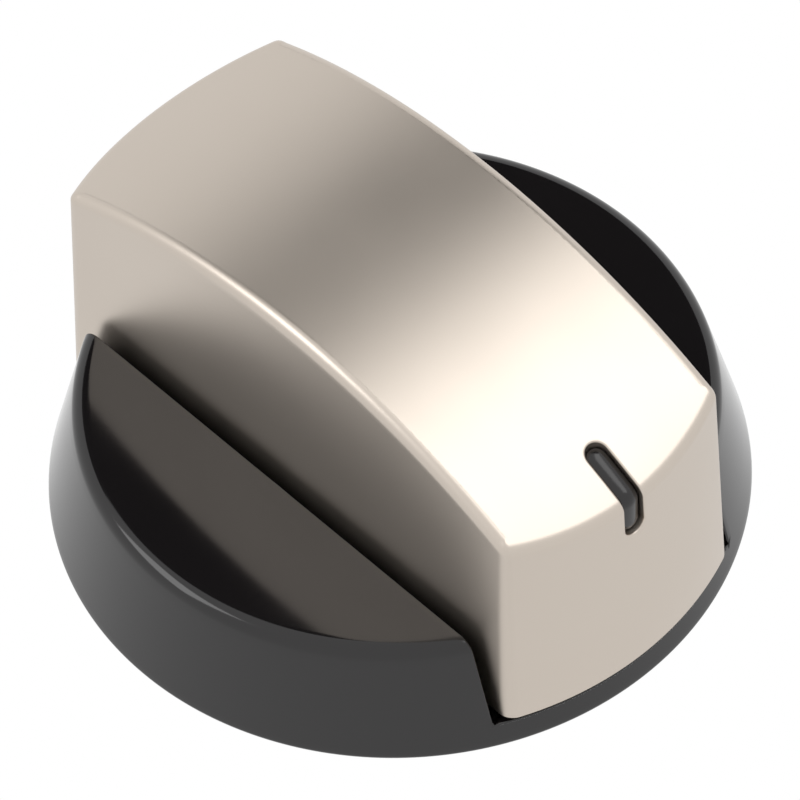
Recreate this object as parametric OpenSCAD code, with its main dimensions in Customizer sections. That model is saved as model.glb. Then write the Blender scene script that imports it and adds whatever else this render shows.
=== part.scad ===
// Push-on control knob for a hob or oven. A round black skirt carries a silver bar grip that spans
// its full width. The grip is a hollow cap that snaps over a carrier moulded on the skirt, and a
// black pointer bead wraps over its front edge. A leaf spring grips the flat of a D-shaped shaft.
// The shaft's axis is +Z, the base plane is z = 0 and the pointer is on +X. Sizes are in mm.

/* [Skirt] */
// Outer diameter of the skirt at its base
skirt_d = 42; // [40:0.5:46]
// Lean of the outer wall, in degrees from upright
wall_lean = 13; // [9:0.5:17]
// Height of the half-moon floors above the base
floor_h = 8.2; // [7:0.1:10]
// Radius of the round on the rim
rim_r = 1; // [0.4:0.1:1.4]
// Radius of the round on the outer base edge
base_r = 0.3; // [0.1:0.05:0.4]
// Wall thickness of the skirt
skirt_wall = 1.8; // [1.4:0.1:2.2]
// Thickness of the half-moon floors
floor_t = 1.6; // [1.2:0.1:2.2]
// Height by which all but the skirt's edge stays off the appliance's panel
panel_relief = 0.3; // [0.2:0.05:0.5]

/* [Bar channel] */
// Height of the ledge under the cap's ends
ledge_h = 1.8; // [1.5:0.1:2.6]
// Gap between the cap's long sides and the channel's walls
side_gap = 0.55; // [0.3:0.05:0.8]
// Gap between the cap's lower edge and the ledge
ledge_gap = 0.45; // [0.2:0.05:0.7]
// Thickness of the channel's walls below the floors
channel_wall = 1.5; // [1.2:0.1:1.8]

/* [Grip cap] */
// Width of the cap at its lower edge
cap_w = 18.1; // [17:0.1:19]
// Diameter of the round that both end faces lie on, at the lower edge
cap_d = 41.8; // [41:0.1:42]
// Height of the cap's crest above the base
cap_h = 22.5; // [20:0.1:26]
// Radius of the arch along the top
arch_r = 42; // [36:0.5:60]
// Inward taper of each long side, from the lower edge to the top
side_taper = 0.4; // [0.2:0.05:0.5]
// Inward taper of each end face, from the lower edge to the top
end_taper = 0.2; // [0.1:0.05:0.4]
// Wall thickness of the cap
cap_wall = 1.3; // [1:0.1:1.5]
// Radius of the four upright corners at the lower edge
corner_r = 1.2; // [1.2:0.05:1.6]
// Depth of the round along the two long top edges
long_edge_r = 0.7; // [0.3:0.05:0.7]
// Depth of the round along the two curved end edges
end_edge_r = 0.4; // [0.2:0.05:0.6]
// Depth of the round along the inside of the top
inner_edge_r = 0.3; // [0.2:0.05:0.4]

/* [Pointer] */
// Width of the pointer's slot
slot_w = 1.5; // [1.2:0.1:2]
// Length of the slot along the top, measured back from the end face
slot_len = 3.8; // [3:0.1:6]
// Length of the slot down the end face, measured from the height of the front edge
slot_drop = 3.1; // [2.6:0.1:4]
// Gap between the bead and the slot's sides
bead_gap = 0.05; // [0.03:0.01:0.1]
// Depth of the bead's crest below the cap's surface
bead_sink = 0.2; // [0.1:0.05:0.4]
// Height of the crest above the bead's edges
bead_crown = 0.25; // [0.1:0.05:0.4]
// Radius of the bead's bend over the front edge
bead_bend_r = 1.1; // [0.8:0.1:1.3]
// Radius of the foot's bend inside the cap
foot_bend_r = 0.6; // [0.5:0.05:0.7]
// Thickness of the foot that holds the bead inside the cap
foot_t = 0.7; // [0.5:0.1:1]
// Gap between the middle of the foot and the inside of the cap
foot_gap = 0.12; // [0.12:0.01:0.2]
// How far the foot reaches past the slot on every side
foot_margin = 0.9; // [0.5:0.1:1]

/* [Hub and shaft] */
// Diameter of the appliance's shaft
shaft_d = 8; // [7:0.1:8.4]
// Thickness of the shaft across its flat
shaft_flat = 6.5; // [6.2:0.1:7]
// Gap between the shaft and the socket
shaft_gap = 0.05; // [0.02:0.01:0.1]
// Wall thickness of the hub around the lead-in
hub_wall = 1.9; // [1.4:0.1:2.2]
// How much wider the round lead-in is than the shaft
lead_in = 0.8; // [0.7:0.05:1]
// Depth of the round lead-in
lead_in_depth = 3; // [2:0.5:4]
// Depth of the socket from the hub's mouth
socket_depth = 13; // [11:0.5:14]
// Height of the hub's mouth above the base
mouth_h = 0.6; // [0.4:0.1:1.5]
// Thickness of the hub's closed end
hub_end = 1.8; // [1.2:0.1:2]

/* [Shaft spring] */
// Width of the leaf
leaf_w = 4.6; // [3.5:0.1:4.8]
// Thickness of the leaf
leaf_t = 0.4; // [0.3:0.05:0.5]
// How far the leaf's middle stands past the socket's flat
leaf_press = 0.25; // [0.1:0.05:0.4]
// How far the leaf's ends lie behind its middle
leaf_bow = 0.65; // [0.4:0.05:0.7]
// Gap between the leaf and its pocket
leaf_gap = 0.05; // [0.03:0.01:0.1]

/* [Carrier] */
// Wall thickness of the carrier and its roof
carrier_wall = 1.4; // [1.1:0.1:1.6]
// Gap between the carrier and the inside of the cap
carrier_gap = 0.15; // [0.1:0.05:0.3]
// Gap between the supporting ribs and the inside of the cap's top
seat_gap = 0.1; // [0.05:0.01:0.2]
// Thickness of all ribs
rib_t = 1.2; // [0.9:0.1:1.5]
// Distance of the lengthwise supporting ribs from the middle
long_rib_y = 4.6; // [4:0.1:5.4]
// Distance of the inner crosswise supporting ribs from the middle
inner_rib_x = 7.6; // [7:0.1:8.6]
// Distance of the outer crosswise supporting ribs from the middle
outer_rib_x = 15.2; // [14.4:0.1:15.6]
// Distance of the ribs under the half-moon floors from the middle
floor_rib_x = 6.5; // [5:0.1:8]
// Height of the lower edge of the ribs under the half-moon floors
floor_rib_low = 2; // [1:0.1:3]

/* [Snap legs] */
// Distance of the snap legs from the middle
leg_x = 11.5; // [11:0.1:12.5]
// Width of a leg
leg_w = 5; // [4:0.1:5.6]
// Thickness of a leg
leg_t = 1.4; // [1:0.1:1.6]
// How far a hook reaches under the carrier's roof
hook_reach = 0.8; // [0.5:0.1:1]
// Height of a hook
hook_h = 1.8; // [1.4:0.1:2.4]
// Gap between a leg or its hook and the carrier
leg_gap = 0.12; // [0.08:0.01:0.2]

/* [Hidden] */
$fn = 96;

// Cuts run past the faces that they open by this much, and joined pieces sink by it into each other
over = 1;
sink = 0.3;

// Segments of a quarter of the cap's outline, and of the rounds along its edges
end_steps = 9;
corner_steps = 5;
side_steps = 14;
edge_steps = 5;

skirt_r = skirt_d / 2;
channel_y = cap_w / 2 + side_gap;
cap_low = ledge_h + ledge_gap;
arch_z = cap_h - arch_r;
end_x = cap_d / 2 - end_taper;
slot_low = arch_at(end_x) - slot_drop;
carrier_y = cap_w / 2 - cap_wall - side_taper - carrier_gap;
carrier_r = end_x - cap_wall - carrier_gap;
roof_h = slot_low - foot_margin - carrier_gap;
socket_r = shaft_d / 2 + shaft_gap;
socket_flat_x = shaft_flat - shaft_d / 2 + shaft_gap;
lead_in_r = (shaft_d + lead_in) / 2;
hub_r = lead_in_r + hub_wall;
lead_in_top = mouth_h + lead_in_depth;
socket_top = mouth_h + socket_depth;
foot_top = cap_wall + foot_gap;
foot_rib_x = end_x - foot_top - foot_t - foot_bend_r;
leaf_middle_x = socket_flat_x - leaf_press;
pocket_x = leaf_middle_x + leaf_t + leaf_bow + leaf_gap;
roof_low = roof_h - carrier_wall;

// Height of the arch at x, on the surface that lies depth below the top
function arch_at(x, depth = 0) = arch_z + sqrt(pow(arch_r - depth, 2) - x * x);

// One quarter of a bar outline with half width w, end radius r and corner radius c, from the middle
// of the front end round to the middle of the long side. Each point is [x, y, normal x, normal y,
// share], and share runs from 0 on the end to 1 on the long side.
function quarter(w, r, c) =
    let (
        cy = w - c,
        cx = sqrt(pow(r - c, 2) - cy * cy),
        turn = atan2(cy, cx)
    )
    concat(
        [for (i = [0:end_steps]) let (a = turn * i / end_steps)
            [r * cos(a), r * sin(a), cos(a), sin(a), 0]],
        [for (i = [1:corner_steps]) let (a = turn + (90 - turn) * i / corner_steps)
            [cx + c * cos(a), cy + c * sin(a), cos(a), sin(a), i / corner_steps]],
        [for (i = [1:side_steps]) [cx * (1 - i / side_steps), w, 0, 1, 1]]
    );

// The whole outline, counterclockwise, from its front quarter mirrored in x and y
function outline(w, r, c) =
    let (q = quarter(w, r, c), last = len(q) - 1)
    concat(
        q,
        [for (i = [last - 1:-1:0]) [-q[i][0], q[i][1], -q[i][2], q[i][3], q[i][4]]],
        [for (i = [1:last]) [-q[i][0], -q[i][1], -q[i][2], -q[i][3], q[i][4]]],
        [for (i = [last - 1:-1:1]) [q[i][0], -q[i][1], q[i][2], -q[i][3], q[i][4]]]
    );

// A ring at one height, from the outline's own points
function flat_ring(points, z) = [for (p = points) [p[0], p[1], z]];

// A ring below the arch: turn runs from 0 at the side face to 90 at the top, edge and end are the
// depths of the round on the long sides and on the ends, and depth is the surface's own depth
function arch_ring(points, turn, edge, end, depth) =
    [for (p = points)
        let (
            round_r = end + (edge - end) * p[4],
            inset = end_taper + (side_taper - end_taper) * p[4] + round_r * (1 - cos(turn)),
            x = p[0] - p[2] * inset
        )
        [x, p[1] - p[3] * inset, arch_at(x, depth) - round_r * (1 - sin(turn))]];

// Faces between ring a and ring b of n points each, facing outwards where b is above a
function band(a, b, n) =
    [for (i = [0:n - 1]) let (j = (i + 1) % n) each [[a * n + i, b * n + i, b * n + j],
                                                     [a * n + i, b * n + j, a * n + j]]];

// Faces that close ring a straight across from each point to its mirror image in y
function ladder(a, n) =
    [for (i = [0:n / 2 - 1]) let (p = a * n + i, q = a * n + (n - i) % n, s = a * n + n - i - 1)
        each concat(i > 0 ? [[p, q, p + 1]] : [], i < n / 2 - 1 ? [[q, s, p + 1]] : [])];

function flipped(faces) = [for (f = faces) [f[2], f[1], f[0]]];

// Straight-sided 2D bar with round ends on a circle of radius r
module bar_2d(half_w, r) {
    intersection() {
        square([2 * r + 2 * over, 2 * half_w], center = true);
        circle(r);
    }
}

// Block between two heights with its middle on the axis in y
module block(x0, x1, half_y, z0, z1) {
    translate([x0, -half_y, z0])
        cube([x1 - x0, 2 * half_y, z1 - z0]);
}

// Half section of the skirt: a leaning wall with round rim and base edges
module skirt_section() {
    lean_normal = [cos(wall_lean), sin(wall_lean)];
    base_c = [skirt_r - base_r, base_r];
    rim_z = floor_h - rim_r;
    rim_x = base_c[0] + (base_r - rim_r - (rim_z - base_r) * sin(wall_lean)) / cos(wall_lean);
    rim_c = [rim_x, rim_z];
    polygon([
        [0, 0],
        [base_c[0], 0],
        base_c,
        base_c + base_r * lean_normal,
        rim_c + rim_r * lean_normal,
        rim_c,
        [rim_x, floor_h],
        [0, floor_h]
    ]);
    translate(rim_c)
        circle(rim_r);
    translate(base_c)
        circle(base_r);
}

// Space under the half-moon floors, inside the leaning wall
module hollow_section() {
    wall_at_base = skirt_r - skirt_wall / cos(wall_lean);
    top = floor_h - floor_t;
    polygon([
        [0, -over],
        [wall_at_base + over * tan(wall_lean), -over],
        [wall_at_base - top * tan(wall_lean), top],
        [0, top]
    ]);
}

module skirt_shell() {
    difference() {
        rotate_extrude()
            skirt_section();
        // Hollows under both half-moon floors, cut around the channel's walls and the ribs
        difference() {
            rotate_extrude()
                hollow_section();
            block(-skirt_r, skirt_r, channel_y + channel_wall, -2 * over, floor_h);
            for (x = [-floor_rib_x, floor_rib_x])
                block(x - rib_t / 2, x + rib_t / 2, skirt_r, floor_rib_low, floor_h);
        }
        // Channel for the cap
        block(-skirt_d, skirt_d, channel_y, ledge_h, floor_h + over);
    }
}

// Everything that lies deeper than depth below the cap's top, above the carrier's roof
module space_below(depth) {
    intersection() {
        translate([0, 0, arch_z])
            rotate([90, 0, 0])
                cylinder(r = arch_r - depth, h = 2 * (carrier_y - inner_edge_r), center = true);
        translate([0, 0, roof_h - sink])
            cylinder(r = carrier_r, h = cap_h);
    }
}

// Ribs on the carrier's roof that the cap's arched top and the pointer's foot rest on
module seat_ribs() {
    intersection() {
        space_below(foot_top + foot_t + seat_gap);
        block(outer_rib_x, foot_rib_x, rib_t / 2, 0, cap_h);
    }
    intersection() {
        space_below(cap_wall + seat_gap);
        union() {
            for (y = [-long_rib_y, long_rib_y])
                translate([0, y, 0])
                    block(-outer_rib_x, outer_rib_x, rib_t / 2, 0, cap_h);
            for (x = [-outer_rib_x, -inner_rib_x, inner_rib_x, outer_rib_x])
                block(x - rib_t / 2, x + rib_t / 2, cap_w / 2, 0, cap_h);
        }
    }
}

// D-shaped socket with its round lead-in and the pocket for the leaf
module socket() {
    translate([0, 0, -over])
        cylinder(r = lead_in_r, h = lead_in_top + over);
    translate([0, 0, lead_in_top - sink])
        linear_extrude(socket_top - lead_in_top + sink)
            intersection() {
                circle(socket_r);
                translate([-socket_flat_x, -socket_r])
                    square(2 * socket_r);
            }
    block(-pocket_x, -socket_flat_x + sink, leaf_w / 2 + leaf_gap, lead_in_top - sink, socket_top);
}

module skirt_body() {
    color([0.10, 0.10, 0.11])
        difference() {
            union() {
                difference() {
                    union() {
                        skirt_shell();
                        linear_extrude(roof_h)
                            bar_2d(carrier_y, carrier_r);
                    }
                    translate([0, 0, -over])
                        linear_extrude(roof_low + over)
                            bar_2d(carrier_y - carrier_wall, carrier_r - carrier_wall);
                    translate([0, 0, -over])
                        cylinder(r = skirt_r - skirt_wall, h = panel_relief + over);
                }
                seat_ribs();
                translate([0, 0, mouth_h])
                    cylinder(r = hub_r, h = socket_depth + hub_end);
            }
            socket();
            // Windows for the snap legs
            for (side = [0, 180])
                rotate([0, 0, side])
                    block(leg_x - leg_t / 2 - hook_reach - leg_gap, leg_x + leg_t / 2 + leg_gap,
                          leg_w / 2 + leg_gap, roof_low - over, roof_h + over);
        }
}

// Hollow shell of the cap, its outer and inner skins joined along the lower edge
module cap_shell() {
    outer = outline(cap_w / 2, cap_d / 2, corner_r);
    inner = outline(cap_w / 2 - cap_wall, cap_d / 2 - cap_wall, inner_edge_r + side_taper);
    n = len(outer);
    outer_rings = concat(
        [flat_ring(outer, cap_low)],
        [for (i = [0:edge_steps]) arch_ring(outer, 90 * i / edge_steps, long_edge_r, end_edge_r, 0)]
    );
    inner_rings = concat(
        [flat_ring(inner, cap_low)],
        [for (turn = [0, 45, 90]) arch_ring(inner, turn, inner_edge_r, inner_edge_r, cap_wall)]
    );
    rings = concat(outer_rings, inner_rings);
    top = len(outer_rings) - 1;
    rim = top + 1;
    ceiling = len(rings) - 1;
    points = [for (ring = rings) each ring];
    faces = concat(
        [for (i = [0:top - 1]) each band(i, i + 1, n)],
        ladder(top, n),
        [for (i = [rim:ceiling - 1]) each flipped(band(i, i + 1, n))],
        flipped(ladder(ceiling, n)),
        flipped(band(0, rim, n))
    );
    polyhedron(points, faces);
}

// Slot through the cap's top and end wall, with a half-round at both of its ends
module pointer_slot() {
    slot_r = slot_w / 2;
    back_x = end_x - slot_len + slot_r;
    wall_x = end_x - cap_wall - over;
    floor_z = arch_at(end_x) - cap_wall - over;
    translate([0, 0, floor_z])
        linear_extrude(cap_h) {
            translate([back_x, 0])
                circle(slot_r);
            translate([back_x, -slot_r])
                square([slot_len + over, slot_w]);
        }
    translate([wall_x, 0, slot_low + slot_r])
        rotate([90, 0, 90])
            linear_extrude(cap_wall + 3 * over) {
                circle(slot_r);
                translate([-slot_r, 0])
                    square([slot_w, cap_h]);
            }
}

module snap_leg() {
    inner_x = leg_x - leg_t / 2;
    outer_x = leg_x + leg_t / 2;
    hook_top = roof_low - leg_gap;
    hook_low = hook_top - hook_h;
    translate([0, leg_w / 2, 0])
        rotate([90, 0, 0])
            linear_extrude(leg_w)
                polygon([
                    [inner_x, hook_low],
                    [outer_x, hook_low],
                    [outer_x + hook_reach, hook_top - hook_reach / 2],
                    [outer_x + hook_reach, hook_top],
                    [outer_x, hook_top],
                    [outer_x, arch_at(outer_x, cap_wall) + sink],
                    [inner_x, arch_at(inner_x, cap_wall) + sink]
                ]);
}

module grip_cap() {
    color([0.76, 0.73, 0.69])
        union() {
            difference() {
                cap_shell();
                pointer_slot();
            }
            snap_leg();
            mirror([1, 0, 0])
                snap_leg();
        }
}

// Point of the pointer's line in the plane y = 0, on the surface that lies depth below the cap's:
// at x along the arch in part 0, at a share of the bend in part 1, at height z on the end in part 2
function pointer_at(part, at, depth) =
    let (
        face_x = end_x - depth,
        bend_r = max(bead_bend_r + bead_sink - depth, foot_bend_r),
        bend_x = face_x - bend_r,
        bend_z = arch_at(bend_x, depth + bend_r),
        lean = asin(bend_x / (arch_r - depth - bend_r)),
        x = min(at, bend_x + bend_r * sin(lean)),
        turn = (90 - lean) * (1 - at)
    )
    part == 0 ? [x, arch_at(x, depth)] :
    part == 1 ? [bend_x + bend_r * cos(turn), bend_z + bend_r * sin(turn)] :
    [face_x, min(at, bend_z)];

// Section of the bead, half wide on each side of the middle, and section of the foot behind it
function bead_section(half) = concat(
    [[half, foot_top + sink]],
    [for (i = [-4:4]) [-half * i / 4, bead_sink + bead_crown * pow(i / 4, 2)]],
    [[-half, foot_top + sink]]
);
function foot_section(half) =
    [[half, foot_top + foot_t], [half, foot_top], [-half, foot_top], [-half, foot_top + foot_t]];

// Closed solid swept along the pointer's line. Each station is [part, at, section], and a section
// is a list of [y, depth] that runs round the solid.
module pointer_sweep(stations) {
    n = len(stations[0][2]);
    last = len(stations) - 1;
    points = [for (s = stations, p = s[2]) let (q = pointer_at(s[0], s[1], p[1])) [q[0], p[0], q[1]]];
    polyhedron(points, concat(
        [for (i = [0:last - 1]) each band(i, i + 1, n)],
        [[for (i = [0:n - 1]) i]],
        [[for (i = [n - 1:-1:0]) last * n + i]]
    ));
}

// Bead in the slot, with a half-round at each end like the slot's own
module bead() {
    bead_r = slot_w / 2 - bead_gap;
    back_x = end_x - slot_len + bead_gap;
    low_z = slot_low + bead_gap;
    opening = [12, 24, 38, 54, 72, 90];
    closing = [90, 72, 54, 38, 24, 12];
    pointer_sweep(concat(
        [for (a = opening) [0, back_x + bead_r * (1 - cos(a)), bead_section(bead_r * sin(a))]],
        [for (i = [0:5]) [1, i / 6, bead_section(bead_r)]],
        [[2, cap_h, bead_section(bead_r)]],
        [for (a = closing) [2, low_z + bead_r * (1 - cos(a)), bead_section(bead_r * sin(a))]]
    ));
}

// Foot behind the bead, which keeps it from coming out of the slot
module foot() {
    section = foot_section(slot_w / 2 + foot_margin);
    back_x = end_x - slot_len - foot_margin;
    pointer_sweep(concat(
        [for (x = [back_x, back_x + slot_len / 3]) [0, x, section]],
        [for (i = [0:3]) [1, i / 3, section]],
        [[2, slot_low - foot_margin, section]]
    ));
}

module pointer_insert() {
    color([0.09, 0.09, 0.10])
        union() {
            bead();
            foot();
        }
}

// Leaf that bows from its two ends, at the back of its pocket, towards the shaft
module shaft_spring() {
    leaf_low = lead_in_top + leaf_gap;
    leaf_high = socket_top - leaf_gap;
    half = (leaf_high - leaf_low) / 2;
    bow_r = (half * half + leaf_bow * leaf_bow) / 2 / leaf_bow;
    color([0.68, 0.69, 0.71])
        translate([-leaf_middle_x - bow_r - leaf_t, leaf_w / 2, (leaf_low + leaf_high) / 2])
            rotate([90, 0, 0])
                linear_extrude(leaf_w)
                    intersection() {
                        difference() {
                            circle(bow_r + leaf_t);
                            circle(bow_r);
                        }
                        translate([0, -half])
                            square([2 * bow_r, 2 * half]);
                    }
}

skirt_body();
grip_cap();
pointer_insert();
shaft_spring();
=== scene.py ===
# Push-on control knob for a hob or oven: a gloss black skirt, a satin silver bar grip that spans it,
# a black pointer bead that wraps over the grip's front edge, and the leaf spring in the socket.
# Shapes are worked out in millimetres, in the part's own frame, and turned to metres at the end.
import math

import bmesh
import bpy
import numpy as np
from mathutils import Matrix, Vector


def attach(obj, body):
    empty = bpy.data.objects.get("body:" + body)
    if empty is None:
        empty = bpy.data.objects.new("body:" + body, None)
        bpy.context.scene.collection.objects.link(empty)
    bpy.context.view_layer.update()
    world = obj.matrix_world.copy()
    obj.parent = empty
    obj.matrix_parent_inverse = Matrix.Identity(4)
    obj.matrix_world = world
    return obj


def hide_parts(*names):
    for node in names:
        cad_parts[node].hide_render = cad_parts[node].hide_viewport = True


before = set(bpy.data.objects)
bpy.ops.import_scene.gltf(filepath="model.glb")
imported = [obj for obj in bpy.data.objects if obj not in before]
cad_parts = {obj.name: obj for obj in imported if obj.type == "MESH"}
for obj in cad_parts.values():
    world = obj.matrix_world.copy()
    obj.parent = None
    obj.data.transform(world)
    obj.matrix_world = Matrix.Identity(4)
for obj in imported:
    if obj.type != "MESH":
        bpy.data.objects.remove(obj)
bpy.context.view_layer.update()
mm = 0.001


# ---- from arrays to pieces

def gridFaces(rows, cols, closed=False):
    # quads of a grid numbered row by row; closed joins the last column to the first
    j = np.arange(cols if closed else cols - 1)
    k = (j + 1) % cols
    i = np.arange(rows - 1)[:, None] * cols
    return np.stack([i + j, i + k, i + cols + k, i + cols + j], -1).reshape(-1, 4)


def gridPatch(points, closed=False, flip=False, keep=None):
    # points is rows x columns x 3; keep is a mask of the quads that stay
    rows, cols = points.shape[:2]
    faces = gridFaces(rows, cols, closed)
    if keep is not None:
        faces = faces[keep.ravel()]
    return points.reshape(-1, 3), (faces[:, ::-1] if flip else faces).tolist()


def polygonPatch(points, flip=False):
    order = list(range(len(points)))
    return np.asarray(points, float), [order[::-1] if flip else order]


def mirroredPatch(patch):
    # the patch on the other side of the plane y = 0, still facing outwards
    return patch[0] * [1, -1, 1], [face[::-1] for face in patch[1]]


def makePiece(name, patches, material, sharp=35, recalc=False):
    counts = np.cumsum([0] + [len(p[0]) for p in patches])
    points = np.concatenate([p[0] for p in patches]) * mm
    faces = [[v + start for v in face] for p, start in zip(patches, counts.tolist()) for face in p[1]]
    mesh = bpy.data.meshes.new(name)
    mesh.from_pydata(points.tolist(), [], faces)
    work = bmesh.new()
    work.from_mesh(mesh)
    bmesh.ops.remove_doubles(work, verts=work.verts, dist=0.0015 * mm)
    bmesh.ops.dissolve_degenerate(work, edges=work.edges, dist=0.0005 * mm)
    if recalc:
        bmesh.ops.recalc_face_normals(work, faces=work.faces)
    work.to_mesh(mesh)
    work.free()
    mesh.shade_smooth()
    mesh.set_sharp_from_angle(angle=math.radians(sharp))
    mesh.materials.append(material)
    piece = bpy.data.objects.new(name, mesh)
    bpy.context.scene.collection.objects.link(piece)
    weighted = piece.modifiers.new("flatFacesLead", "WEIGHTED_NORMAL")
    weighted.keep_sharp = True
    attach(piece, "root")
    print(name, len(mesh.vertices), "vertices", len(mesh.polygons), "faces")
    return piece


# ---- materials

def linear(hexColour):
    # sRGB hex to linear rgba
    c = np.array([int(hexColour[i:i + 2], 16) for i in (1, 3, 5)]) / 255
    return (*np.where(c <= 0.04045, c / 12.92, ((c + 0.055) / 1.055) ** 2.4).tolist(), 1)


def addNode(tree, kind, inputs=None, links=None, **settings):
    # one node with its settings, its fixed inputs and the sockets that feed its inputs
    node = tree.nodes.new(kind)
    for key, value in settings.items():
        setattr(node, key, value)
    for key, value in (inputs or {}).items():
        node.inputs[key].default_value = value
    for key, socket in (links or {}).items():
        tree.links.new(socket, node.inputs[key])
    return node


def newMaterial(name):
    material = bpy.data.materials.new(name)
    material.use_nodes = True
    material.node_tree.nodes.clear()
    return material, material.node_tree


def glossBlackAbs(name, look):
    # ABS moulded in a polished tool: deep black under a clear gloss, with the faint waviness of a
    # moulded skin that bends reflections a little and a trace of handling in the roughness
    material, tree = newMaterial(name)
    place = addNode(tree, "ShaderNodeTexCoord")
    wave = addNode(tree, "ShaderNodeTexNoise", {"Scale": 1000 / look["waveSize"], "Detail": 1.0},
                   {"Vector": place.outputs["Object"]})
    handled = addNode(tree, "ShaderNodeTexNoise", {"Scale": 1000 / look["smearSize"], "Detail": 4.0},
                      {"Vector": place.outputs["Object"]})
    rough = addNode(tree, "ShaderNodeMapRange", {"From Min": 0.3, "From Max": 0.7, "To Min": look["roughness"],
                    "To Max": look["roughness"] + look["smear"]}, {"Value": handled.outputs["Fac"]})
    bump = addNode(tree, "ShaderNodeBump", {"Strength": look["waveStrength"], "Distance": 0.01 * mm},
                   {"Height": wave.outputs["Fac"]})
    shader = addNode(tree, "ShaderNodeBsdfPrincipled",
                     {"Base Color": linear(look["colour"]), "IOR": look["ior"]},
                     {"Roughness": rough.outputs["Result"], "Normal": bump.outputs["Normal"]})
    addNode(tree, "ShaderNodeOutputMaterial", links={"Surface": shader.outputs["BSDF"]})
    return material


def satinNickelOnAbs(name, look):
    # ABS plated with satin nickel: the plating copies a finely blasted tool, so it spreads highlights
    # softly, keeps a warm grey and shows a very fine grain; the grain is drawn coarser than the real
    # 0.05 mm so that it shows at all
    material, tree = newMaterial(name)
    place = addNode(tree, "ShaderNodeTexCoord")
    grain = addNode(tree, "ShaderNodeTexNoise", {"Scale": 1000 / look["grainSize"], "Detail": 2.0},
                    {"Vector": place.outputs["Object"]})
    cloud = addNode(tree, "ShaderNodeTexNoise", {"Scale": 1000 / look["cloudSize"], "Detail": 3.0},
                    {"Vector": place.outputs["Object"]})
    rough = addNode(tree, "ShaderNodeMapRange", {"From Min": 0.3, "From Max": 0.7,
                    "To Min": look["roughness"] - look["cloud"], "To Max": look["roughness"] + look["cloud"]},
                    {"Value": cloud.outputs["Fac"]})
    bump = addNode(tree, "ShaderNodeBump", {"Strength": look["grainStrength"], "Distance": 0.004 * mm},
                   {"Height": grain.outputs["Fac"]})
    shader = addNode(tree, "ShaderNodeBsdfPrincipled",
                     {"Base Color": linear(look["colour"]), "Metallic": 1.0},
                     {"Roughness": rough.outputs["Result"], "Normal": bump.outputs["Normal"]})
    addNode(tree, "ShaderNodeOutputMaterial", links={"Surface": shader.outputs["BSDF"]})
    return material


def rolledSpringSteel(name, look):
    # stainless strip, cold rolled: bright, with fine lines along the rolling direction, which is +Z
    material, tree = newMaterial(name)
    place = addNode(tree, "ShaderNodeTexCoord")
    stretch = addNode(tree, "ShaderNodeMapping", {"Scale": (1, 1, 0.04)}, {"Vector": place.outputs["Object"]})
    lines = addNode(tree, "ShaderNodeTexNoise", {"Scale": 1000 / look["lineSize"], "Detail": 3.0},
                    {"Vector": stretch.outputs["Vector"]})
    rough = addNode(tree, "ShaderNodeMapRange", {"To Min": look["roughness"], "To Max": look["roughness"] + 0.2},
                    {"Value": lines.outputs["Fac"]})
    shader = addNode(tree, "ShaderNodeBsdfPrincipled",
                     {"Base Color": linear(look["colour"]), "Metallic": 1.0},
                     {"Roughness": rough.outputs["Result"]})
    addNode(tree, "ShaderNodeOutputMaterial", links={"Surface": shader.outputs["BSDF"]})
    return material


skirtLook = dict(colour="#151314", ior=1.54, roughness=0.07, smear=0.05, smearSize=9, waveSize=3.0, waveStrength=0.12)
capLook = dict(colour="#cbc1b6", roughness=0.36, cloud=0.02, cloudSize=12, grainSize=0.12, grainStrength=0.25)
pointerLook = dict(colour="#141112", ior=1.54, roughness=0.18, smear=0.06, smearSize=3, waveSize=0.8, waveStrength=0.1)
springLook = dict(colour="#c4c5c9", roughness=0.2, lineSize=0.15)

skirtBlack = glossBlackAbs("glossBlackAbs", skirtLook)
capSilver = satinNickelOnAbs("satinNickelOnAbs", capLook)
pointerBlack = glossBlackAbs("glossBlackPointer", pointerLook)
springSteel = rolledSpringSteel("rolledSpringSteel", springLook)
print("materials made")


# ---- the grip cap: an arched shell with round edges and a slot over its front edge

cap = dict(halfWidth=9.05, endRadius=20.9, low=2.25, crest=22.5, archRadius=42.0, wall=1.3,
           sideTaper=0.4, endTaper=0.2, cornerRound=1.2, longRound=0.7, endRound=0.5, lowRound=0.12,
           innerCorner=0.7, innerRound=0.3)
slot = dict(width=1.5, length=3.8, drop=3.1, lip=0.13, columnStep=0.25, margin=2.0, rowStep=0.25, fineRows=4.5,
            topRows=19, faceRows=16)
legs = dict(x=11.5, width=5.0, thickness=1.4, hookLow=9.53, hookTop=11.33, hookReach=0.8)

outerSkin = dict(halfWidth=cap["halfWidth"], radius=cap["endRadius"], corner=cap["cornerRound"],
                 longRound=cap["longRound"], endRound=cap["endRound"], depth=0.0)
innerSkin = dict(halfWidth=cap["halfWidth"] - cap["wall"], radius=cap["endRadius"] - cap["wall"],
                 corner=cap["innerCorner"], longRound=cap["innerRound"], endRound=cap["innerRound"],
                 depth=cap["wall"])
archZ = cap["crest"] - cap["archRadius"]
endX = cap["endRadius"] - cap["endTaper"]
roundLength = 0.8  # stands for the length of the end round where a place is counted along the strip
cornerSteps = 8
outerColumns = 10


def archAt(x, depth=0.0):
    # height of the arch at x, on the surface that lies depth below the top
    return archZ + np.sqrt((cap["archRadius"] - depth) ** 2 - x * x)


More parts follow.
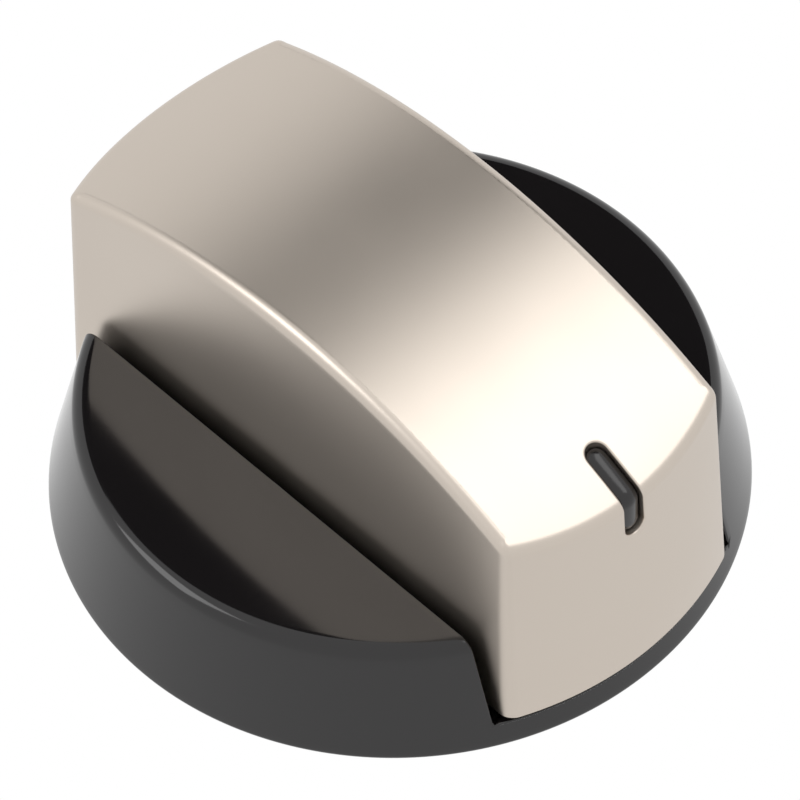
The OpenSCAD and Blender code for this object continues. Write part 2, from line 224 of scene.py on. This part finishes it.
def capOutline(skin):
    # one ring round the cap, counterclockwise from the middle of the front end: x, y, the normal and
    # a share that is 0 on the ends and 1 on the long sides; also the end columns' own sideways places
    cy = skin["halfWidth"] - skin["corner"]
    cx = math.sqrt((skin["radius"] - skin["corner"]) ** 2 - cy ** 2)
    turn = math.atan2(cy, cx)
    topRadius = skin["radius"] - cap["endTaper"] - skin["endRound"]
    fine = np.arange(0, slot["margin"] + 1e-6, slot["columnStep"])
    sideways = np.concatenate([fine, np.linspace(fine[-1], topRadius * math.sin(turn), outerColumns + 1)[1:]])
    a = np.arcsin(sideways / topRadius)
    b = turn + (math.pi / 2 - turn) * np.arange(1, cornerSteps + 1) / cornerSteps
    fineX = np.arange(slot["rowStep"], slot["fineRows"] + 1e-6, slot["rowStep"])
    along = cx - np.concatenate([fineX, np.linspace(fineX[-1], cx, 19)[1:]])
    k = np.arange(1, cornerSteps + 1) / cornerSteps
    quarter = np.concatenate([
        np.stack([skin["radius"] * np.cos(a), skin["radius"] * np.sin(a), np.cos(a), np.sin(a), 0 * a], -1),
        np.stack([cx + skin["corner"] * np.cos(b), cy + skin["corner"] * np.sin(b), np.cos(b), np.sin(b),
                  k * k * (3 - 2 * k)], -1),
        np.stack([along, 0 * along + skin["halfWidth"], 0 * along, 0 * along + 1, 0 * along + 1], -1)])
    mirrorX = quarter * [-1, 1, -1, 1, 1]
    mirrorY = quarter * [1, -1, 1, -1, 1]
    mirrorBoth = quarter * [-1, -1, -1, -1, 1]
    ring = np.concatenate([quarter, mirrorX[-2::-1], mirrorBoth[1:], mirrorY[-2:0:-1]])
    return ring, sideways, topRadius, len(quarter)


def faceRows(skin, ring, share):
    # rows up the sides and ends: share 0 at the lower edge, 1 where the top's round begins
    share = np.asarray(share)[:, None]
    taper = cap["endTaper"] + (cap["sideTaper"] - cap["endTaper"]) * ring[:, 4]
    bend = skin["endRound"] + (skin["longRound"] - skin["endRound"]) * ring[:, 4]
    top = archAt(ring[:, 0] - ring[:, 2] * taper, skin["depth"]) - bend
    x = ring[:, 0] - ring[:, 2] * taper * share
    y = ring[:, 1] - ring[:, 3] * taper * share
    return np.stack([x, y, cap["low"] + share * (top - cap["low"])], -1)


def roundRows(skin, ring, turn):
    # rows over the top's round: turn 0 at the side, 90 degrees at the top
    turn = np.asarray(turn)[:, None]
    taper = cap["endTaper"] + (cap["sideTaper"] - cap["endTaper"]) * ring[:, 4]
    bend = skin["endRound"] + (skin["longRound"] - skin["endRound"]) * ring[:, 4]
    inset = taper + bend * (1 - np.cos(turn))
    x = ring[:, 0] - ring[:, 2] * inset
    y = ring[:, 1] - ring[:, 3] * inset
    return np.stack([x, y, archAt(x, skin["depth"]) - bend * (1 - np.sin(turn))], -1)


def topRows(topRing, quarterCount):
    # rows across the arched top between the two long edges: x is stretched so that the first and last
    # rows are the end edges, and y so that the outer columns are the long edges
    mid = quarterCount - 1
    cornerAt = outerColumns + int(round(slot["margin"] / slot["columnStep"])) + cornerSteps // 2
    sideX = topRing[cornerAt:2 * mid - cornerAt + 1, 0]
    sideY = topRing[cornerAt:2 * mid - cornerAt + 1, 1]
    ends = topRing[np.arange(-cornerAt, cornerAt + 1)]
    ease = np.clip((np.abs(ends[:, 1]) - 3) / (sideY[0] - 3), 0, 1)
    ease = ease * ease * (3 - 2 * ease)
    x = sideX[:, None] / sideX[0] * ends[:, 0]
    y = ends[:, 1] * (1 + (sideY[:, None] / sideY[0] - 1) * ease)
    return x, y, cornerAt


def stripPoint(skin, sideways, along, depth=0.0):
    # the front end's surface by two lengths: sideways across it and along it, which is negative on
    # the top, 0 to roundLength over the end round and more than that down the end face
    high = archAt(endX - skin["depth"], skin["depth"]) - skin["endRound"]
    topRadius = skin["radius"] - cap["endTaper"] - skin["endRound"]
    a = np.arcsin(sideways / topRadius)
    turn = np.clip(1 - along / roundLength, 0, 1) * math.pi / 2
    share = np.clip(1 - (along - roundLength) / (high - cap["low"]), 0, 1)
    radius = skin["radius"] - cap["endTaper"] * share - skin["endRound"] * (1 - np.cos(turn))
    x = radius * np.cos(a) + np.minimum(along, 0)
    y = radius * np.sin(a)
    faceTop = archAt((skin["radius"] - cap["endTaper"]) * np.cos(a), skin["depth"]) - skin["endRound"]
    bent = archAt(x, skin["depth"]) - skin["endRound"] * (1 - np.sin(turn))
    z = np.where(along > roundLength, cap["low"] + share * (faceTop - cap["low"]), bent)
    up = np.stack([x, 0 * x, z - archZ], -1) / cap["archRadius"]
    out = np.stack([np.cos(a), np.sin(a), 0 * a], -1)
    normal = np.sin(turn)[..., None] * up + np.cos(turn)[..., None] * out
    normal /= np.linalg.norm(normal, axis=-1, keepdims=True)
    return np.stack([x, y, z], -1) - np.asarray(depth)[..., None] * normal


def capSkin(skin, shares, turns, spread, lip):
    # one skin of the cap with the slot left open: the sides and ends, the top, and the surface that
    # fans out from the slot's edge to the grid around it. Returns the patches and the slot's edge.
    ring, sideways, topRadius, quarterCount = capOutline(skin)
    face = faceRows(skin, ring, shares)
    bend = roundRows(skin, ring, turns)[1:]
    wallRows = np.concatenate([face, bend])
    topX, topY, cornerAt = topRows(wallRows[-1], quarterCount)
    top = np.stack([topX, topY, archAt(topX, skin["depth"])], -1)

    # the block of quads around the slot that the fan takes the place of
    half = int(round(slot["margin"] / slot["columnStep"]))
    lastRow, firstRow = slot["topRows"], len(shares) - slot["faceRows"]
    slotLow = archAt(endX) - slot["drop"]
    high = archAt(endX - skin["depth"], skin["depth"]) - skin["endRound"]
    count = len(ring)
    column = np.arange(count)
    near = (column < half) | (column >= count - half)
    keepWall = ~(near & (np.arange(len(wallRows) - 1) >= firstRow)[:, None])
    across = np.arange(2 * cornerAt)
    keepTop = ~((across >= cornerAt - half) & (across < cornerAt + half) & (np.arange(len(topX) - 1) < lastRow)[:, None])

    # the block's outline as places on the strip
    stretch = topX[:, cornerAt] / topRadius - 1
    downTurn = (1 - np.asarray(turns)[::-1] / (math.pi / 2)) * roundLength
    downFace = roundLength + (1 - np.asarray(shares)[::-1]) * (high - cap["low"])
    steps = np.concatenate([sideways[half:0:-1] * -1, sideways[:half + 1]])
    edge = sideways[half]
    edgeX = math.sqrt(topRadius ** 2 - edge ** 2)
    lengths = np.concatenate([edgeX * stretch[lastRow - 1:0:-1], downTurn[:-1],
                              downFace[:len(downFace) - firstRow - 1]])
    back = np.stack([steps, np.sqrt(topRadius ** 2 - steps ** 2) * stretch[lastRow]], -1)
    right = np.stack([0 * lengths + edge, lengths], -1)
    front = np.stack([steps[::-1], 0 * steps + downFace[len(downFace) - firstRow - 1]], -1)
    left = right[::-1] * [-1, 1]
    loop = np.concatenate([back, right, front, left])

    # straight lines in those two lengths, from the slot's outline to the block's
    reach = slot["width"] / 2
    backCentre = endX - slot["length"] + reach - topRadius
    lowCentre = roundLength + high - (slotLow + reach)
    centre = np.clip(loop[:, 1], backCentre, lowCentre)
    away = loop - np.stack([0 * centre, centre], -1)
    length = np.linalg.norm(away, axis=1)
    away /= length[:, None]
    bendTurn = np.linspace(0, math.pi / 2, 6) if lip else np.array([0.0])
    near = lip * (1 - np.cos(bendTurn))[:, None] + 0 * length
    far = lip + (length - reach - lip) * np.asarray(spread)[:, None]
    offset = np.concatenate([near, far])
    depth = np.concatenate([lip * (1 - np.sin(bendTurn)), 0 * np.asarray(spread)])[:, None] + 0 * length
    q = (reach + offset) * away[:, 0]
    s = centre + (reach + offset) * away[:, 1]
    fan = stripPoint(skin, q, s, depth)
    patches = [gridPatch(wallRows, closed=True, keep=keepWall), gridPatch(top, keep=keepTop),
               gridPatch(fan, closed=True)]
    return patches, fan[0], wallRows[0], ring


def snapLeg(side):
    # a plate with a hook that points away from the middle, cut from the outline in the plane y = 0
    inner, outer = legs["x"] - legs["thickness"] / 2, legs["x"] + legs["thickness"] / 2
    reach = outer + legs["hookReach"]
    profile = np.array([[inner, legs["hookLow"]], [outer, legs["hookLow"]],
                        [reach, legs["hookTop"] - legs["hookReach"] / 2], [reach, legs["hookTop"]],
                        [outer, legs["hookTop"]], [outer, archAt(outer, cap["wall"]) + 0.3],
                        [inner, archAt(inner, cap["wall"]) + 0.3]])
    y = np.array([-1, 1])[:, None] * legs["width"] / 2 + 0 * profile[:, 0]
    points = np.stack([side * profile[:, 0] + 0 * y, y, profile[:, 1] + 0 * y], -1)
    return [gridPatch(points, closed=True), polygonPatch(points[0]), polygonPatch(points[1], flip=True)]


faceShares = np.concatenate([np.linspace(0, 0.7, 10), np.linspace(0.7, 1, 19)[1:]])
outerPatches, outerEdge, outerLow, outerRing = capSkin(
    outerSkin, faceShares, np.linspace(0, math.pi / 2, 9), [0.06, 0.15, 0.27, 0.42, 0.6, 0.8, 1], slot["lip"])
innerPatches, innerEdge, innerLow, innerRing = capSkin(
    innerSkin, faceShares, np.linspace(0, math.pi / 2, 9), [0.3, 0.6, 1], 0.0)
slotWall = outerEdge + (innerEdge - outerEdge) * np.linspace(0, 1, 5)[:, None, None]
lowEdge = outerLow + (innerLow - outerLow) * np.array([0, 0.1, 0.9, 1])[:, None, None]
capPatches = outerPatches + innerPatches + [gridPatch(slotWall, closed=True), gridPatch(lowEdge, closed=True)]
capPatches += snapLeg(1) + snapLeg(-1)
gripCap = makePiece("gripCapShell", capPatches, capSilver, recalc=True)
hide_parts("grip_cap")


# ---- the pointer: a crowned bead in the slot, on a foot inside the cap

bead = dict(gap=0.05, sink=0.2, crownHeight=0.25, bend=1.1, footBend=0.6, footDepth=1.42, footThick=0.7, footMargin=0.9)


def pointerPoint(part, at, depth):
    # in the plane y = 0, on the surface that lies depth below the cap's: at x along the arch in
    # part 0, at a share of the bend in part 1, at height z on the end face in part 2
    faceX = endX - depth
    bend = np.maximum(bead["bend"] + bead["sink"] - depth, bead["footBend"])
    bendX = faceX - bend
    bendZ = archAt(bendX, depth + bend)
    lean = np.arcsin(bendX / (cap["archRadius"] - depth - bend))
    x = np.minimum(at, bendX + bend * np.sin(lean))
    turn = (math.pi / 2 - lean) * (1 - at)
    onArch = np.stack([x, archAt(x, depth)], -1)
    onBend = np.stack([bendX + bend * np.cos(turn), bendZ + bend * np.sin(turn)], -1)
    onEnd = np.stack([faceX, np.minimum(at, bendZ)], -1)
    return np.where(part[..., None] == 0, onArch, np.where(part[..., None] == 1, onBend, onEnd))


def pointerSweep(part, at, sideways, depth):
    # a closed solid: one section per station, and a face at each end
    part, at = (np.asarray(v, float)[:, None] + 0 * depth for v in (part, at))
    plane = pointerPoint(part, at, depth)
    points = np.stack([plane[..., 0], sideways, plane[..., 1]], -1)
    return [gridPatch(points, closed=True), polygonPatch(points[0], flip=True), polygonPatch(points[-1])]


def beadPatches():
    # the crown falls away with the square of the distance from the bead's middle line, and round
    # each end with the square of the distance from the end's own centre
    reach = slot["width"] / 2 - bead["gap"]
    backX = endX - slot["length"] + bead["gap"]
    lowZ = archAt(endX) - slot["drop"] + bead["gap"]
    angle = np.radians([6, 14, 22, 31, 40, 50, 60, 70, 80, 90])
    straight = backX + np.linspace(reach, 2.2, 6)[1:]
    bendShare = np.linspace(0, 1, 13)[:-1]
    face = np.linspace(cap["crest"], lowZ + reach, 2)[:1]
    part = np.concatenate([0 * angle, 0 * straight, 0 * bendShare + 1, 0 * face + 2, 0 * angle + 2])
    at = np.concatenate([backX + reach * (1 - np.cos(angle)), straight, bendShare, face,
                         lowZ + reach * (1 - np.cos(angle[::-1]))])
    fromCentre = np.concatenate([reach * np.cos(angle), 0 * straight, 0 * bendShare, 0 * face,
                                 reach * np.cos(angle[::-1])])[:, None]
    half = np.sqrt(reach ** 2 - fromCentre ** 2)
    across = -np.sin(np.linspace(-90, 90, 17) * math.pi / 180)
    sideways = half * across
    depth = bead["sink"] + bead["crownHeight"] * (sideways ** 2 + fromCentre ** 2) / reach ** 2
    deep = 0 * half + bead["footDepth"] + 0.3
    sideways = np.concatenate([half, sideways, -half], 1)
    depth = np.concatenate([deep, depth, deep], 1)
    return pointerSweep(part, at, sideways, depth)


def footPatches():
    half = slot["width"] / 2 + bead["footMargin"]
    backX = endX - slot["length"] - bead["footMargin"]
    share = np.linspace(0, 1, 7)
    part = np.concatenate([[0, 0, 0], 0 * share + 1, [2]])
    at = np.concatenate([backX + np.array([0, 0.7, 1.4]), share, [archAt(endX) - slot["drop"] - bead["footMargin"]]])
    high, deep = bead["footDepth"], bead["footDepth"] + bead["footThick"]
    sideways = np.array([half, half, -half, -half]) + 0 * part[:, None]
    depth = np.array([deep, high, high, deep]) + 0 * part[:, None]
    return pointerSweep(part, at, sideways, depth)


pointer = makePiece("pointerBead", beadPatches() + footPatches(), pointerBlack, sharp=40, recalc=True)
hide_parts("pointer_insert")


# ---- the skirt: a leaning wall under two half-moon floors, with the channel for the cap between them

skirt = dict(radius=21.0, lean=13.0, floor=8.2, rimRound=1.0, baseRound=0.3, baseInner=19.2,
             channel=9.6, ledge=1.8, edgeRound=0.12, carrierHalf=7.2, carrierRadius=19.25)
lean = math.radians(skirt["lean"])
baseX = skirt["radius"] - skirt["baseRound"]
rimZ = skirt["floor"] - skirt["rimRound"]
rimX = baseX + (skirt["baseRound"] - skirt["rimRound"] - (rimZ - skirt["baseRound"]) * math.sin(lean)) / math.cos(lean)


def wallRadius(z):
    return baseX + (skirt["baseRound"] - (z - skirt["baseRound"]) * math.sin(lean)) / math.cos(lean)


def halfMoon():
    # one half-moon above the ledge: rows follow the wall, the rim's round and the floor, where each is
    # an arc of radius r cut by the channel's plane; the cut edge has a small round of its own
    wallZ = np.concatenate([[skirt["ledge"], skirt["ledge"] + 0.1, skirt["ledge"] + 0.2],
                            np.linspace(skirt["ledge"] + 0.2, rimZ + skirt["rimRound"] * math.sin(lean), 9)[1:]])
    turn = np.linspace(lean, math.pi / 2, 13)[1:]
    rimEnd = math.sqrt(rimX ** 2 - skirt["channel"] ** 2)
    # the floor's rows close in on the middle of the channel's edge
    floorX = rimEnd * np.concatenate([[0.985], np.linspace(1, 0, 17)[1:]])
    radius = np.concatenate([wallRadius(wallZ), rimX + skirt["rimRound"] * np.cos(turn),
                             np.sqrt(floorX ** 2 + skirt["channel"] ** 2)])
    height = np.concatenate([wallZ, rimZ + skirt["rimRound"] * np.sin(turn), 0 * floorX + skirt["floor"]])
    tilt = np.concatenate([0 * wallZ + lean, turn, 0 * floorX + math.pi / 2])
    small = skirt["edgeRound"] * np.clip((height - skirt["ledge"]) / 0.2, 0, 1)

    # outward normals of the surface where the channel's plane cuts it
    cutX = np.sqrt(np.maximum(radius ** 2 - skirt["channel"] ** 2, 0))
    nx, ny, nz = (np.cos(tilt) * cutX / radius, np.cos(tilt) * skirt["channel"] / radius, np.sin(tilt))
    start = np.arcsin(np.clip((skirt["channel"] + small * (1 + ny)) / radius, -1, 1))
    share = 0.5 - 0.5 * np.cos(np.linspace(0, math.pi, 97)) * (0.5 + 0.5 * np.linspace(-1, 1, 97) ** 2)
    share = np.linspace(0, 1, 97) * 0.6 + share * 0.4
    angle = start[:, None] + (math.pi - 2 * start[:, None]) * share
    arc = np.stack([radius[:, None] * np.cos(angle), radius[:, None] * np.sin(angle), height[:, None] + 0 * angle], -1)

    # the small round, from the channel's wall (normal -Y) to the surface, by an even turn of its normal
    wedge = np.arccos(np.clip(-ny, -1, 1))[:, None]
    step = np.linspace(0, 1, 6)
    fromWall = np.sin((1 - step) * wedge) / np.sin(wedge)
    fromSkin = np.sin(step * wedge) / np.sin(wedge)
    normal = np.stack([fromSkin * nx[:, None], fromSkin * ny[:, None] - fromWall, fromSkin * nz[:, None]], -1)
    corner = np.stack([cutX, 0 * cutX + skirt["channel"], height], -1)
    middle = corner - (small / (1 - ny))[:, None] * np.stack([nx, ny - 1, nz], -1)
    front = middle[:, None] + small[:, None, None] * normal
    back = front[:, ::-1] * [-1, 1, 1]
    rows = np.concatenate([front[:, :-1], arc, back[:, 1:]], 1)
    cheek = np.concatenate([front[:, 0], back[::-1, -1]])
    return [gridPatch(rows), polygonPatch(cheek)], angle[0]


def skirtBand(moonAngles):
    # the closed ring below the ledge, and in each notch the ledge's own round and its flat
    cut = moonAngles[0]
    easing = np.linspace(-1, 1, 41)
    notch = cut * np.sign(easing) * (1 - (1 - np.abs(easing)) ** 1.4)
    angles = np.concatenate([moonAngles, math.pi + notch[1:-1], math.pi + moonAngles, notch[1:-1]])
    inNotch = np.concatenate([0 * moonAngles, 1 - np.abs(notch[1:-1]) / cut, 0 * moonAngles,
                              1 - np.abs(notch[1:-1]) / cut]) * cut * skirt["radius"]
    small = skirt["edgeRound"] * np.clip(inNotch / 0.4, 0, 1)
    turn = np.linspace(-math.pi / 2, lean, 8)
    sunk = small * (1 + math.sin(lean)) / (1 + math.sin(lean))
    high = skirt["ledge"] - sunk * math.cos(lean) / (1 + math.sin(lean))
    wallZ = np.linspace(0, 1, 5)[1:, None] * (high - (skirt["baseRound"] * (1 + math.sin(lean)))) \
        + skirt["baseRound"] * (1 + math.sin(lean))
    radius = np.concatenate([np.array([[skirt["baseInner"]]]) + 0 * angles,
                             (baseX + skirt["baseRound"] * np.cos(turn))[:, None] + 0 * angles,
                             wallRadius(wallZ)])
    height = np.concatenate([np.zeros((1, len(angles))),
                             (skirt["baseRound"] * (1 + np.sin(turn)))[:, None] + 0 * angles, wallZ])
    band = np.stack([radius * np.cos(angles), radius * np.sin(angles), height], -1)

    # each notch: the round from the wall to the ledge, then flat to the carrier's foot
    ease = skirt["edgeRound"] * np.clip((1 - np.abs(notch) / cut) * cut * skirt["radius"] / 0.4, 0, 1)
    bend = np.linspace(lean, math.pi / 2, 6)[:, None]
    ledgeR = wallRadius(skirt["ledge"])
    grip = 1 + math.sin(lean)
    r = ledgeR - ease * math.cos(lean) / grip + ease * np.cos(bend)
    z = skirt["ledge"] - ease + ease * np.sin(bend) + 0 * r
    foot = math.asin(skirt["carrierHalf"] / skirt["carrierRadius"]) * notch / cut
    angle = np.concatenate([notch + 0 * bend, foot[None]])
    r = np.concatenate([r, 0 * foot[None] + skirt["carrierRadius"]])
    z = np.concatenate([z, 0 * foot[None] + skirt["ledge"]])
    ledge = np.stack([r * np.cos(angle), r * np.sin(angle), z], -1)
    footX = skirt["carrierRadius"] * math.cos(foot[-1])
    cutX = ledgeR * math.cos(cut)
    side = np.array([[cutX, skirt["channel"]], [-cutX, skirt["channel"]], [-footX, skirt["carrierHalf"]],
                     [footX, skirt["carrierHalf"]]])
    floor = polygonPatch(np.column_stack([side, [skirt["ledge"]] * 4]))
    return [gridPatch(band, closed=True), gridPatch(ledge), gridPatch(ledge * [-1, -1, 1]), floor,
            mirroredPatch(floor)]


def hiddenFaces():
    # the moulding's inside and underside come from the part itself: every triangle but those of the
    # surfaces that are made finer above
    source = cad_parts["skirt_body"].data
    points = np.empty(len(source.vertices) * 3)
    source.vertices.foreach_get("co", points)
    points = points.reshape(-1, 3) / mm
    corners = np.empty(len(source.loops), int)
    source.loops.foreach_get("vertex_index", corners)
    triangles = corners.reshape(-1, 3)
    r, y, z = np.hypot(points[:, 0], points[:, 1]), np.abs(points[:, 1]), points[:, 2]
    low = baseX + np.sqrt(np.clip(skirt["baseRound"] ** 2 - (z - skirt["baseRound"]) ** 2, 0, 1))
    high = rimX + np.sqrt(np.clip(skirt["rimRound"] ** 2 - (z - rimZ) ** 2, 0, 1))
    skin = np.where(z < skirt["baseRound"] * (1 + math.sin(lean)), low,
                    np.where(z > rimZ + skirt["rimRound"] * math.sin(lean), high, wallRadius(z)))
    outside = (np.abs(r - skin) < 0.03) & (z < skirt["floor"] + 0.01)
    outside |= (np.abs(z - skirt["floor"]) < 0.005) & (y > skirt["channel"] - 0.01)
    outside |= (z < 0.005) & (r > skirt["baseInner"] - 0.02)
    cheek = (np.abs(y - skirt["channel"]) < 0.005) & (z > skirt["ledge"] - 0.01)
    ledge = (np.abs(z - skirt["ledge"]) < 0.005) & ((y > skirt["carrierHalf"] - 0.01) | (r > skirt["carrierRadius"] - 0.02))
    made = outside[triangles].all(1) | cheek[triangles].all(1) | ledge[triangles].all(1)
    return points, triangles[~made].tolist()


moon, moonAngles = halfMoon()
skirtPatches = moon + [mirroredPatch(p) for p in moon] + skirtBand(moonAngles) + [hiddenFaces()]
skirtPiece = makePiece("skirtMoulding", skirtPatches, skirtBlack)
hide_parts("skirt_body")


# ---- the leaf spring: a bowed strip with rolled edges

leaf = dict(width=4.6, thickness=0.4, bow=0.65, low=3.65, high=13.55, middleX=-2.3, edge=0.12)


def leafPatches():
    # a rounded rectangle carried along an arc in the plane y = 0
    half = (leaf["high"] - leaf["low"]) / 2
    bowRadius = (half ** 2 + leaf["bow"] ** 2) / 2 / leaf["bow"]
    outer = bowRadius + leaf["thickness"]
    middle = (leaf["middleX"] - outer, (leaf["high"] + leaf["low"]) / 2)
    turn = np.linspace(-1, 1, 25)
    k = np.linspace(0, 2 * math.pi, 25)[:-1]
    w = np.sign(np.cos(k)) * (leaf["width"] / 2 - leaf["edge"]) + leaf["edge"] * np.cos(k)
    t = np.sign(np.sin(k)) * (leaf["thickness"] / 2 - leaf["edge"]) + leaf["edge"] * np.sin(k)
    radius = bowRadius + leaf["thickness"] / 2 + t
    z = half * turn[:, None] + 0 * radius
    x = middle[0] + np.sqrt(radius ** 2 - z ** 2)
    points = np.stack([x, w + 0 * x, middle[1] + z], -1)
    return [gridPatch(points, closed=True), polygonPatch(points[0], flip=True), polygonPatch(points[-1])]


spring = makePiece("leafSpring", leafPatches(), springSteel, sharp=40, recalc=True)
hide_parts("shaft_spring")


# ---- floor, world, lights and camera

view = dict(azimuth=48.556, elevation=52.236, roll=-2.601, distance=1.5, focalPixels=25259.0, aim=(0.26, -1.41), height=10.0)
light = dict(worldDiffuse=0.75, overhead=1.6, left=2.4, cardShade=0.03)


def whiteBackground(tree, surface, white):
    # the lit surface for the light that falls on the knob, plain white for what looks at it directly,
    # in a mirror or through glass
    path = addNode(tree, "ShaderNodeLightPath")
    sees = addNode(tree, "ShaderNodeMath", links={0: path.outputs["Is Camera Ray"], 1: path.outputs["Is Glossy Ray"]},
                   operation="MAXIMUM")
    seesAny = addNode(tree, "ShaderNodeMath", links={0: sees.outputs[0], 1: path.outputs["Is Transmission Ray"]},
                      operation="MAXIMUM")
    return addNode(tree, "ShaderNodeMixShader", links={0: seesAny.outputs[0], 1: surface, 2: white})


def makeFloor():
    mesh = bpy.data.meshes.new("paleFloor")
    size = 3.0
    mesh.from_pydata([(-size, -size, 0), (size, -size, 0), (size, size, 0), (-size, size, 0)], [], [(0, 1, 2, 3)])
    material, tree = newMaterial("paleFloorPaper")
    paper = addNode(tree, "ShaderNodeBsdfDiffuse", {"Color": linear("#e6e6e6")})
    white = addNode(tree, "ShaderNodeEmission", {"Color": (1, 1, 1, 1), "Strength": 1.0})
    mixed = whiteBackground(tree, paper.outputs["BSDF"], white.outputs["Emission"])
    addNode(tree, "ShaderNodeOutputMaterial", links={"Surface": mixed.outputs["Shader"]})
    mesh.materials.append(material)
    floor = bpy.data.objects.new("paleFloor", mesh)
    bpy.context.scene.collection.objects.link(floor)


def makeWorld():
    world = bpy.data.worlds.new("whiteStudio")
    world.use_nodes = True
    tree = world.node_tree
    tree.nodes.clear()
    lit = addNode(tree, "ShaderNodeBackground", {"Color": (1, 1, 1, 1), "Strength": light["worldDiffuse"]})
    white = addNode(tree, "ShaderNodeBackground", {"Color": (1, 1, 1, 1), "Strength": 1.0})
    mixed = whiteBackground(tree, lit.outputs["Background"], white.outputs["Background"])
    addNode(tree, "ShaderNodeOutputWorld", links={"Surface": mixed.outputs["Shader"]})
    bpy.context.scene.world = world


def facing(direction, distance, height=0.01):
    # a place at a distance in a direction from the knob, turned to face it
    place = Vector(direction).normalized() * distance + Vector((0, 0, height))
    turn = (place - Vector((0, 0, height))).to_track_quat("Z", "Y")
    return Matrix.Translation(place) @ turn.to_matrix().to_4x4()


def softbox(name, direction, distance, size, radiance):
    # power of a square area light that looks as bright as radiance from its front
    data = bpy.data.lights.new(name, "AREA")
    data.shape = "RECTANGLE"
    data.size, data.size_y = size
    data.energy = radiance * math.pi * size[0] * size[1]
    lamp = bpy.data.objects.new(name, data)
    lamp.matrix_world = facing(direction, distance)
    bpy.context.scene.collection.objects.link(lamp)


def darkCard(name, direction, distance, size):
    # a dark card, as photographers use to keep a gloss surface black, out of the camera's sight
    mesh = bpy.data.meshes.new(name)
    w, h = size[0] / 2, size[1] / 2
    mesh.from_pydata([(-w, -h, 0), (w, -h, 0), (w, h, 0), (-w, h, 0)], [], [(0, 1, 2, 3)])
    mesh.transform(facing(direction, distance))
    material, tree = newMaterial("darkCard")
    shade = addNode(tree, "ShaderNodeEmission", {"Color": (1, 1, 1, 1), "Strength": light["cardShade"]})
    addNode(tree, "ShaderNodeOutputMaterial", links={"Surface": shade.outputs["Emission"]})
    mesh.materials.append(material)
    card = bpy.data.objects.new(name, mesh)
    card.visible_camera = False
    card.visible_shadow = False
    card.visible_diffuse = False
    bpy.context.scene.collection.objects.link(card)


def makeCamera():
    azimuth, elevation, roll = (math.radians(view[k]) for k in ("azimuth", "elevation", "roll"))
    back = np.array([math.sin(azimuth) * math.cos(elevation), -math.cos(azimuth) * math.cos(elevation), math.sin(elevation)])
    right = np.cross(-back, [0, 0, 1])
    right /= np.linalg.norm(right)
    up = np.cross(right, -back)
    across = right * math.cos(roll) + up * math.sin(roll)
    upward = up * math.cos(roll) - right * math.sin(roll)
    place = np.array([0, 0, view["height"] * mm]) + back * view["distance"] \
        + (across * view["aim"][0] + upward * view["aim"][1]) * mm
    data = bpy.data.cameras.new("photoView")
    data.sensor_width = 36
    data.lens = view["focalPixels"] / 800 * 36
    data.clip_start, data.clip_end = 0.1, 20
    camera = bpy.data.objects.new("photoView", data)
    camera.matrix_world = Matrix(np.block([[np.column_stack([across, upward, back, place])], [np.array([[0, 0, 0, 1]])]]).tolist())
    bpy.context.scene.collection.objects.link(camera)
    bpy.context.scene.camera = camera


makeFloor()
makeWorld()
softbox("overhead", (0.25, 0.45, 1.0), 1.2, (0.9, 0.7), light["overhead"])
softbox("leftSide", (-0.46, -0.55, 0.75), 1.3, (0.6, 0.6), light["left"])
darkCard("backCard", (-0.46, 0.40, 0.70), 1.4, (1.6, 0.55))
makeCamera()
scene = bpy.context.scene
scene.view_settings.view_transform = "Standard"
print("studio made")

bpy.context.view_layer.update()
